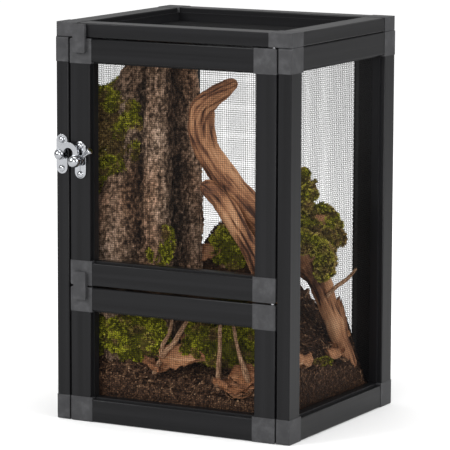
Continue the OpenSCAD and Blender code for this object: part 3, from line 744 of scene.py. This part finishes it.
def build_tuft(bm):
    """Four slim cones that lean outwards, each a little more than the last."""
    for k in range(4):
        lean = Matrix.Rotation(math.radians(90 * k + 20), 4, "Z")
        lean = lean @ Matrix.Rotation(math.radians(10 + 7 * k), 4, "Y")
        bmesh.ops.create_cone(
            bm, cap_ends=True, segments=3, radius1=0.6, radius2=0.0, depth=2.6,
            matrix=lean @ Matrix.Translation((0, 0, 1.3)),
        )


def scatter(bm, shape, copies):
    """Adds copies of a shape to a bmesh, as [matrix, share of its tone]."""
    tone_and_shade_layer = bm.verts.layers.float["relief"]
    first, size = len(bm.verts), len(shape.vertices)
    for _ in copies:
        bm.from_mesh(shape, face_normals=False, vertex_normals=False)
    bm.verts.ensure_lookup_table()
    for number, (matrix, shade) in enumerate(copies):
        start = first + number * size
        for i in range(start, start + size):
            v = bm.verts[i]
            v.co = matrix @ v.co
            v[tone_and_shade_layer] *= shade


def standing(place, way, size, chance):
    """A matrix that stands a copy at a place, leaning out along a way."""
    lean = (way + 0.35 * Vector(chance.uniform(-1, 1) for _ in range(3))).normalized()
    turn = lean.to_track_quat("Z", "Y").to_matrix().to_4x4()
    spin = Matrix.Rotation(chance.uniform(0, 6.3), 4, "Z")
    return Matrix.Translation(place) @ turn @ spin @ Matrix.Scale(size, 4)


def any_way(chance):
    """A direction drawn evenly from all."""
    return Vector((chance.gauss(0, 1), chance.gauss(0, 1), chance.gauss(0, 1))).normalized()


tuft = pattern_mesh("tuft", build_tuft)


def moss_lump(bm, centre, half, core, shade, chance):
    """One lump with its coat of tufts on the side that looks away from a core."""
    tone_and_shade_layer = bm.verts.layers.float["relief"]
    detail = 3 if max(half) > 12 else 2
    made = bmesh.ops.create_icosphere(bm, subdivisions=detail, radius=1)["verts"]

    def outer(way):
        place = Vector(a * b for a, b in zip(way, half))
        swell = 0.93 + 0.22 * noise.noise(place * 0.11 + centre) + 0.08 * noise.noise(place * 0.35)
        place = centre + place * swell
        return Vector((
            limit(place.x, MOSS_LEFT, MOSS_RIGHT), limit(place.y, -MOSS_DEPTH, MOSS_DEPTH), place.z
        ))

    for v in made:
        way = v.co.normalized()
        v.co = outer(way) - way * 0.9
        # painted shade: the lump under the tufts is painted dark
        v[tone_and_shade_layer] = 0.12
    # the surface of an ellipsoid, to about 1 %, from its three half sizes
    pairs = sum((half[a] * half[b]) ** 1.6 / 3 for a, b in ((0, 1), (0, 2), (1, 2)))
    surface = 4 * math.pi * pairs ** 0.625
    copies = []
    for _ in range(int(surface * TUFTS_PER_MM2)):
        way = any_way(chance)
        place = outer(way)
        out = Vector(a / b for a, b in zip(way, half)).normalized()
        if place.z < ground(place.x, place.y) - 1 or (place - core).dot(out) < 0:
            continue
        clump = shade * (chance.uniform(0.15, 1.1) + 0.5 * noise.noise(place * 0.28))
        size = chance.uniform(0.65, 1.2)
        copies.append((standing(place - out * 1.3, out, size, chance), limit(clump, 0.08, 1.2)))
    scatter(bm, tuft, copies)
    return len(copies)


def cluster(centre, half, bumps, size, chance):
    """The lumps of a mat on the ground: a core, and bumps all over it."""
    centre = Vector(centre)
    lumps = [(centre, [0.82 * h for h in half])]
    while len(lumps) <= bumps:
        way = any_way(chance)
        if way.z > -0.5:
            r = size * chance.uniform(0.65, 1.35)
            place = centre + Vector(a * (b - 0.55 * r) for a, b in zip(way, half))
            lumps.append((place, (1.1 * r, r, 0.9 * r)))
    return centre, lumps


# name: the mats as [centre, half sizes, bumps, size of a bump], shade, finish
MATS = {
    "front_left": (
        [((-54, -59, 62), (33, 15, 24), 30, 8), ((-80, -46, 58), (7, 14, 21), 8, 6)], 1.1, moss
    ),
    "front_right": (
        [((22, -50, 62), (34, 14, 22), 28, 7.5), ((79, 4, 41), (9, 11, 8), 5, 5)], 0.85, moss
    ),
    "bank": ([((4, 3, 125), (16, 13, 21), 14, 7), ((-6, 32, 119), (17, 15, 17), 8, 8)], 1.1, moss),
    "mound": (
        [((57, 19, 136), (23, 28, 23), 32, 7.5), ((76, 15, 118), (9, 14, 16), 12, 5.5)], 1.2,
        mixed_moss,
    ),
    "mound_top": ([((57, 21, 170), (9, 9, 21), 18, 4.5)], 1.2, mixed_moss),
    "mound_rear": (
        [((62, 39, 142), (14, 18, 18), 12, 6.5), ((71, 33, 146), (7, 9, 9), 6, 4)], 1.2, mixed_moss
    ),
    "mound_side": ([((79, 33, 136), (7, 8, 8), 7, 4)], 0.9, dry_moss),
}
for name, (mats, shade, material) in MATS.items():
    bm = bmesh.new()
    bm.verts.layers.float.new("relief")
    tufts = 0
    for mat in mats:
        core, lumps = cluster(*mat, chance)
        for centre, half in lumps:
            tufts += moss_lump(bm, centre, half, core, shade * chance.uniform(0.7, 1.15), chance)
    to_metres(bm)
    piece = link_piece("moss_" + name, bm, material, "enclosure", smooth=False)
    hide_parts("moss")
    print("moss", name, tufts, "tufts,", len(piece.data.polygons), "faces")

# %% [markdown]
# ## Moss on the trunk
# On the bark the moss sits in thin mats. Each lump of a mat is set on the
# finished bark, where a ray towards the trunk's axis meets it. Strands of moss
# that hang free beside the trunk are clusters again. The middle of the mat has
# died back and is brown, so green and dry moss are two pieces.

# %% Moss on the trunk
# name: finish, mats on the bark as [angle, z, half its angle, half its height,
# lumps, size of a lump, shade], and the clusters that hang beside it
TRUNK_MATS = {
    "green": (
        moss,
        [
            (-118, 224, 26, 20, 26, 5.5, 1.15), (-104, 236, 10, 9, 7, 4.5, 1.1),
            (-150, 246, 26, 11, 14, 6, 1.15), (-136, 190, 22, 11, 20, 5.5, 1.15),
            (-58, 133, 17, 17, 16, 5.2, 1.15),
        ],
        [
            ((-79, -50, 243), (8, 12, 12), 10, 5.5), ((-76, -53, 190), (9, 10, 11), 10, 5),
            ((-83, -56, 242), (5, 7, 12), 5, 4), ((-83, -56, 180), (5, 7, 14), 6, 4),
        ],
    ),
    "dry": (
        dry_moss,
        [(-140, 218, 26, 18, 30, 6, 0.8), (-112, 200, 14, 8, 9, 4.5, 0.85)],
        [((-80, -52, 217), (7, 12, 17), 12, 5.5), ((-82, -55, 205), (5, 7, 36), 14, 4.5)],
    ),
}
trunk_skin = BVHTree.FromPolygons(
    [v.co / MM for v in trunk_piece.data.vertices], [p.vertices for p in trunk_piece.data.polygons]
)
for name, (material, mats, hanging) in TRUNK_MATS.items():
    bm = bmesh.new()
    bm.verts.layers.float.new("relief")
    tufts = 0
    for angle, z, half_turn, half_rise, lumps, size, shade in mats:
        for _ in range(lumps):
            way = Vector((chance.gauss(0, 1), chance.gauss(0, 1))).normalized()
            way *= chance.uniform(0, 1) ** 0.5
            turn = math.radians(angle + half_turn * way.x)
            out = Vector((math.cos(turn), math.sin(turn), 0))
            axis = Vector((*TRUNK_AXIS, z + half_rise * way.y))
            spot = trunk_skin.ray_cast(axis + out * 90, -out)[0]
            r = size * chance.uniform(0.7, 1.3) * (1 - 0.35 * way.length)
            tone = shade * chance.uniform(0.75, 1.1)
            centre, core = spot - out * 0.35 * r, spot - out * 2 * r
            tufts += moss_lump(bm, centre, (r, r, 1.15 * r), core, tone, chance)
    for mat in hanging:
        core, lumps = cluster(*mat, chance)
        for centre, half in lumps:
            tufts += moss_lump(bm, centre, half, core, chance.uniform(0.75, 1.15), chance)
    to_metres(bm)
    piece = link_piece("moss_trunk_" + name, bm, material, "enclosure", smooth=False)
    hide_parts("moss")
    print("moss on the trunk,", name, tufts, "tufts")

# %% [markdown]
# ## Leaf litter
# Dry leaves are thin curled sheets with a midrib. Each is a grid, drawn in to a
# leaf's outline, curled across and along, laid on the ground and then thickened.
# The midrib stays lighter and the rim goes darker, as on a dead leaf.

# %% Leaves
leaf, tree, shader = finish_of("dry_leaf", (0.4, 0.2, 0.09), 0.6, specular=0.3)
streaks = cloud(tree, grain_place(tree, (0.35, 1.1, 1)), 1.0, 4, 0.6)
dryness = combine(tree, "ADD", attribute(tree, "relief"), between(tree, streaks, -0.5, 0.5))
color_along(
    tree, shader, dryness,
    (0.05, (0.05, 0.019, 0.008)), (0.32, (0.19, 0.073, 0.029)), (0.62, (0.44, 0.2, 0.09)),
    (1.0, (0.72, 0.43, 0.25)),
)
relief(tree, shader, streaks, 0.0004)


def grow_leaf(bm, place, turn, tilt, roll, size, curl, shade):
    """A dry leaf with its stalk: turned, tilted up at its tip, rolled to one side."""
    straight, low = bm.verts.layers.float_vector["straight"], bm.verts.layers.float["relief"]
    made = bmesh.ops.create_grid(bm, x_segments=30, y_segments=12, size=1)["verts"]
    pose = (
        Matrix.Translation(place) @ Matrix.Rotation(math.radians(turn), 4, "Z")
        @ Matrix.Rotation(math.radians(roll), 4, "X") @ Matrix.Rotation(math.radians(-tilt), 4, "Y")
    )
    seed = place[0] * 0.37 + turn
    for v in made:
        s, c = (v.co.x + 1) / 2, v.co.y
        wide = size * 0.3 * math.sin(math.pi * (0.03 + 0.94 * s) ** 0.8)
        lobes = 0.3 * noise.noise(Vector((s * 8, seed, 2 * c)))
        teeth = 0.25 * noise.noise(Vector((s * 26, seed, 4 * c)))
        wide *= 1 + lobes + teeth
        ripple = 0.05 * size * noise.noise(Vector((s * 3, c * 1.5, seed)))
        rise = curl * c * c + curl * 1.6 * (s - 0.5) ** 2 + ripple
        rise -= 0.5 * bell(c, 0.08)
        flat = pose @ Vector((size * (s - 0.5), c * wide, rise))
        if max(tilt, roll) < 15:
            flat.z += ground(flat.x, flat.y) - ground(place[0], place[1])
        v.co = flat
        v[straight] = (size * s, c * wide, seed)
        v[low] = limit(shade + 0.2 * bell(c, 0.07) - 0.25 * bell(1 - abs(c), 0.12))
    bmesh.ops.solidify(bm, geom=list({f for v in made for f in v.link_faces}), thickness=0.4)
    foot = Matrix.Translation((-0.56 * size, 0, 0.6)) @ Matrix.Rotation(math.radians(90), 4, "Y")
    bmesh.ops.create_cone(
        bm, cap_ends=True, segments=6, radius1=0.3, radius2=0.5, depth=size * 0.2, matrix=pose @ foot
    )


# each leaf as [x, y, height over the ground, turn, tilt, roll, size, curl, shade]
LEAVES = [
    (-2, -65, 17, 6, 0, 42, 38, 5, 0.66), (-29, -66, 4, 150, 10, 30, 22, 4, 0.5),
    (-17, -66, 6, 30, 20, 40, 20, 4, 0.6), (-37, -62, 3, 170, 10, 35, 17, 4, 0.45),
    (54, -66, 11, 40, 10, 60, 30, 5, 0.5), (45, -69, 5, 8, 0, 42, 24, 4, 0.5),
    (31, -70, 4, 160, 8, 38, 20, 4, 0.5), (62, -66, 5, 15, 8, 45, 28, 4, 0.6),
    (49, -71, 2, 20, 0, 40, 20, 3, 0.65), (76, -58, 3, 70, 16, 20, 24, 4, 0.6),
    (72, -70, 2, 190, 5, 30, 20, 3, 0.5), (82, -40, 5, 75, 0, -50, 26, 5, 0.65),
    (83, -20, 5, 100, 0, -55, 25, 5, 0.6), (80, -30, 3, 60, 5, -35, 22, 4, 0.55),
    (70, -28, 2, 10, 5, 20, 24, 4, 0.5), (84, 24, 5, 95, 0, -50, 22, 5, 0.6),
    (78, 40, 3, 110, 8, -30, 22, 3, 0.55), (72, 50, 3, 60, 16, 0, 24, 4, 0.6),
    (68, 62, 2, 120, 12, 0, 22, 4, 0.5), (-15, -2, 9, 20, 10, 60, 24, 5, 0.7),
    (-8, -12, 3, 10, 5, 45, 22, 3, 0.5), (-17, -24, 3, 60, 25, 30, 18, 4, 0.55),
    (4, -14, 3, 320, 20, 35, 20, 4, 0.55), (-4, -28, 2, 340, 5, 30, 18, 3, 0.5),
    (16, -10, 2, 300, 6, 30, 18, 3, 0.45), (-26, 40, 1.5, 200, 5, 0, 28, 4, 0.6),
    (16, 42, 1.5, 330, 5, 0, 24, 3, 0.55), (-62, 44, 1.5, 80, 5, 0, 32, 4, 0.6),
    (-10, 60, 1.5, 10, 5, 0, 24, 3, 0.5), (52, -20, 1.5, 120, 8, 0, 22, 3, 0.5),
]
LEAF_REACH = (87.5, 75.2)
bm = bmesh.new()
bm.verts.layers.float_vector.new("straight")
bm.verts.layers.float.new("relief")
for x, y, up, turn, tilt, roll, size, curl, shade in LEAVES:
    grow_leaf(bm, (x, y, ground(x, y) + up), turn, tilt, roll, size, curl, shade)
for v in bm.verts:
    v.co.x, v.co.y = (limit(value, -reach, reach) for value, reach in zip(v.co, LEAF_REACH))
bmesh.ops.recalc_face_normals(bm, faces=bm.faces)
to_metres(bm)
piece = link_piece("leaves", bm, leaf, "enclosure")
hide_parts("leaf_litter")
print(len(LEAVES), "leaves,", len(piece.data.polygons), "faces")

# %% [markdown]
# ## Chips and crumbs
# Between the leaves lie chips of bark and crumbs of soil. A chip is a small bent
# plate and a crumb a small lump. Each is made once and copied: most copies lie
# on the ground, and the rest press against the mesh in front and at the right,
# where the soil shows from the side. Those are painted lighter towards the top
# and darker towards the foot, as painted shade, and each copy is painted dark
# below and light on top in the same way.

# %% Chips and crumbs
chip_finish, tree, shader = finish_of("litter_chips", (0.3, 0.16, 0.08), 0.75, specular=0.2)
blotch = cloud(tree, place_of(tree), 240, 4, 0.6)
# the tone carries painted shade: copies dark underneath and low on the walls, light on top
tone = combine(tree, "ADD", attribute(tree, "relief"), between(tree, blotch, -0.3, 0.3))
color_along(
    tree, shader, tone,
    (0.1, (0.014, 0.006, 0.003)), (0.4, (0.068, 0.031, 0.015)), (0.7, (0.2, 0.108, 0.056)),
    (1.05, (0.48, 0.31, 0.19)),
)
relief(tree, shader, blotch, 0.0005)


def build_chip(bm):
    """A bent chip, 1 long and about 0.5 wide."""
    made = bmesh.ops.create_grid(bm, x_segments=4, y_segments=2, size=0.5)["verts"]
    for v in made:
        x, y = v.co.x, v.co.y
        ragged = 1 + 0.3 * noise.noise(Vector((x * 4, y * 5, 1)))
        v.co = (x, y * (0.62 - 0.5 * abs(x)) * ragged, 0.5 * x * x - 0.3 * y * y)
    bmesh.ops.solidify(bm, geom=bm.faces[:], thickness=0.1)
    bmesh.ops.recalc_face_normals(bm, faces=bm.faces)


def build_crumb(bm):
    """A dented lump, about 1 wide."""
    made = bmesh.ops.create_icosphere(bm, subdivisions=1, radius=0.5)["verts"]
    for v in made:
        v.co *= 1 + 0.5 * noise.noise(v.co * 3)


def lying(x, y, up, size, tilt, chance):
    """A matrix that lays a copy on the ground, tilted a little."""
    fall_x = ground(x - 2, y) - ground(x + 2, y)
    fall_y = ground(x, y - 2) - ground(x, y + 2)
    slope = Vector((fall_x, fall_y, 4)).normalized()
    lean = (slope + tilt * Vector(chance.uniform(-1, 1) for _ in range(3))).normalized()
    turn = lean.to_track_quat("Z", "Y").to_matrix().to_4x4()
    return (
        Matrix.Translation((x, y, ground(x, y) + up)) @ turn
        @ Matrix.Rotation(chance.uniform(0, 6.3), 4, "Z") @ Matrix.Diagonal((*size, 1))
    )


# share of the copies, and the area that they lie in as [x from, to, y from, to]
AREAS = ((0.45, (-84, 84, -74, -44)), (0.27, (-40, 44, -44, 66)), (0.28, (46, 85, -50, 72)))
SOIL_REACH = (87, 75)
FRONT_MESH, RIGHT_MESH, WALL_FOOT = -76.3, 88.7, 9.5
FRONT_SHARE = 0.58


def spread(count, edge, chance):
    """Places on the ground, some in each area, outside the trunk."""
    places = []
    for share, (x0, x1, y0, y1) in AREAS:
        for _ in range(int(count * share)):
            x, y = chance.uniform(x0, x1), chance.uniform(y0, y1)
            if math.hypot(x + 48, y + 18) > 33 and math.hypot(x + 62, y + 45) > 22:
                reach_x, reach_y = (reach - edge for reach in SOIL_REACH)
                places.append((limit(x, -reach_x, reach_x), limit(y, -reach_y, reach_y)))
    return places


def against_mesh(size, inset, chance):
    """A matrix that presses a copy against the front or the right mesh, and its height (0 to 1)."""
    if chance.random() < FRONT_SHARE:
        x = chance.uniform(-84, 84)
        top, way = ground(x, -75), Vector((0, -1, 0))
        z = chance.uniform(WALL_FOOT, top)
        place = (x, FRONT_MESH + inset, z)
    else:
        y = chance.uniform(-70, 70)
        top, way = ground(88, y), Vector((1, 0, 0))
        z = chance.uniform(WALL_FOOT, top)
        place = (RIGHT_MESH - inset, y, z)
    turn = way.to_track_quat("Z", "Y").to_matrix().to_4x4()
    spin = Matrix.Rotation(chance.uniform(0, 6.3), 4, "Z")
    matrix = Matrix.Translation(place) @ turn @ spin @ Matrix.Diagonal((*size, 1))
    return matrix, (z - WALL_FOOT) / (top - WALL_FOOT)


def chip_on_ground(x, y):
    """A chip's matrix and its share of the tone, as the next three give theirs."""
    size = (
        chance.choice((3, 4, 5, 6, 8, 12)), chance.uniform(2.5, 5.5), chance.uniform(2.5, 5)
    )
    return lying(x, y, 0.8, size, 0.45, chance), chance.uniform(0.35, 1.15)


def chip_on_mesh():
    size = (chance.uniform(2, 5.5), chance.uniform(2, 4), 1.5)
    matrix, rise = against_mesh(size, 0.7, chance)
    # painted shade: lighter towards the top of the wall
    return matrix, (0.2 + 0.75 * rise) * chance.uniform(0.4, 1.1)


def crumb_on_ground(x, y):
    size = (chance.uniform(0.9, 2.6),) * 3
    return lying(x, y, 0.4, size, 0.5, chance), chance.choice((0.25, 0.4, 0.6))


def crumb_on_mesh():
    size = (chance.uniform(1, 2.4),) * 3
    matrix, rise = against_mesh(size, 1.5, chance)
    # painted shade: lighter towards the top of the wall
    return matrix, (0.25 + 0.35 * rise) * chance.choice((0.5, 0.8, 1.3))


# name: shape, copies on the ground, copies against the mesh, their makers, slot, node
LITTER = {
    "litter_chips": (build_chip, 1300, 900, chip_on_ground, chip_on_mesh, "leaf", "leaf_litter"),
    "soil_crumbs": (build_crumb, 2800, 2600, crumb_on_ground, crumb_on_mesh, "soil", "substrate"),
}
for name, (build, count, walls, on_ground, on_mesh, slot, node) in LITTER.items():
    shape = pattern_mesh(name + "_pattern", build)
    bm = bmesh.new()
    bm.verts.layers.float.new("relief")
    copies = [on_ground(x, y) for x, y in spread(count, 3.5, chance)]
    copies += [on_mesh() for _ in range(walls)]
    scatter(bm, shape, copies)
    to_metres(bm)
    piece = link_piece(name, bm, chip_finish, "enclosure", smooth=False)
    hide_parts(node)
    print(name, len(copies), "copies,", len(piece.data.polygons), "faces")

# %% [markdown]
# ## Twigs
# The twigs stand in the soil in front and one lies at the rear right. They are
# thin limbs, made in the same way as the driftwood, with pale rings of bark
# across them in place of a long grain.

# %% Twigs
twig, tree, shader = finish_of("twig", (0.2, 0.1, 0.05), 0.8, specular=0.2)
flecks = cloud(tree, grain_place(tree, (1.5, 1.5, 0.35)), 1.0, 4, 0.6)
color_along(
    tree, shader, flecks,
    (0.32, (0.07, 0.03, 0.015)), (0.5, (0.3, 0.16, 0.085)), (0.68, (0.62, 0.42, 0.27)),
)
relief(tree, shader, flecks, 0.0005)

# each twig as [x, y, z, radius] from foot to tip
TWIGS = {
    "front_left": [
        (-25, -70, 38, 2.1), (-17, -68.5, 54, 2.2), (-9, -68.5, 63, 1.9), (-4, -66.5, 72, 2),
        (2, -66, 82, 1.5),
    ],
    "fork_left": [
        (-19, -68.5, 51, 1.9), (-18, -67.5, 62, 2), (-13, -67, 71, 1.6), (-11, -66, 82, 1.3),
    ],
    "front_middle": [
        (31, -69, 28, 2), (30.4, -68.6, 48, 2.3), (31.5, -68.6, 62, 1.9), (31, -68, 82, 1.7),
    ],
    "front_right": [
        (58, -68, 32, 1.9), (53, -68, 47, 2.1), (47, -67.4, 61, 1.8), (42, -67, 82, 1.5),
    ],
    "rear": [(75, 22, 92, 1.7), (78, 32, 99, 1.8), (82, 44, 104, 1.5), (85, 54, 111, 1)],
}
for number, (name, points) in enumerate(TWIGS.items()):
    bm = bmesh.new()
    grow_limb(bm, points, 60, 10, 2, 31 + number, rough=1.6)
    to_metres(bm)
    piece = link_piece("twig_" + name, bm, twig, "enclosure")
    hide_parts("twigs")
print(len(TWIGS), "twigs")

# %% [markdown]
# ## Floor
# The terrarium stands on a white table, which takes its soft shadow. Away from
# the object the table is lifted towards pure white for the camera alone, so
# that it runs into the white background without a horizon.

# %% Floor
bm = bmesh.new()
bmesh.ops.create_grid(bm, x_segments=1, y_segments=1, size=6)
mesh = bpy.data.meshes.new("table")
bm.to_mesh(mesh)
bm.free()
table = bpy.data.objects.new("table", mesh)
bpy.context.scene.collection.objects.link(table)
table.location = (0, 0, -0.0002)
white, tree, shader = finish_of("white_table", (0.74, 0.74, 0.74), 0.8, specular=0.0)
path = add(tree, "LightPath")
lift = add(tree, "Emission", Color=(1, 1, 1, 1))
away = add(tree, "VectorMath", operation="LENGTH")
tree.links.new(place_of(tree), away.inputs[0])
far = between(tree, away.outputs["Value"], 0.12, 0.56, 0.22, 1.1)
seen_far = combine(tree, "MULTIPLY", far, path.outputs["Is Camera Ray"])
tree.links.new(seen_far, lift.inputs["Strength"])
both = add(tree, "AddShader")
tree.links.new(shader.outputs[0], both.inputs[0])
tree.links.new(lift.outputs[0], both.inputs[1])
tree.links.new(both.outputs[0], tree.nodes["Material Output"].inputs["Surface"])
mesh.materials.append(white)

# %% [markdown]
# ## World and lamps
# The room is white too: the camera sees it at full strength, also through the
# mesh, but it lights the object and shows in the chrome at a lower level. A
# large key lamp at the front left and three weaker ones give soft shading.

# %% World and lamps
world = bpy.data.worlds.new("white_room")
bpy.context.scene.world = world
world.use_nodes = True
tree = world.node_tree
backdrop = tree.nodes["Background"]
backdrop.inputs["Color"].default_value = (1, 1, 1, 1)
path = add(tree, "LightPath")
seen = combine(tree, "MAXIMUM", path.outputs["Is Camera Ray"], path.outputs["Is Transmission Ray"])
lit = between(tree, path.outputs["Is Glossy Ray"], 0.62, 0.45)
tree.links.new(combine(tree, "MAXIMUM", seen, lit), backdrop.inputs["Strength"])


def lamp(name, place, target, size, power):
    """A soft square lamp that looks at a target."""
    light = bpy.data.lights.new(name, "AREA")
    light.size = size
    light.energy = power
    made = bpy.data.objects.new(name, light)
    bpy.context.scene.collection.objects.link(made)
    made.location = place
    made.rotation_euler = (Vector(target) - Vector(place)).to_track_quat("-Z", "Y").to_euler()


lamp("key", (-1.1, -1.5, 1.3), (0, 0, 0.15), 0.9, 30)
lamp("front", (0.7, -2.0, 0.7), (0, 0, 0.15), 0.8, 14)
lamp("side", (1.5, -0.2, 0.8), (0, 0, 0.12), 0.8, 14)
lamp("top", (0.1, 0.1, 1.6), (0, 0, 0.1), 1.2, 14)
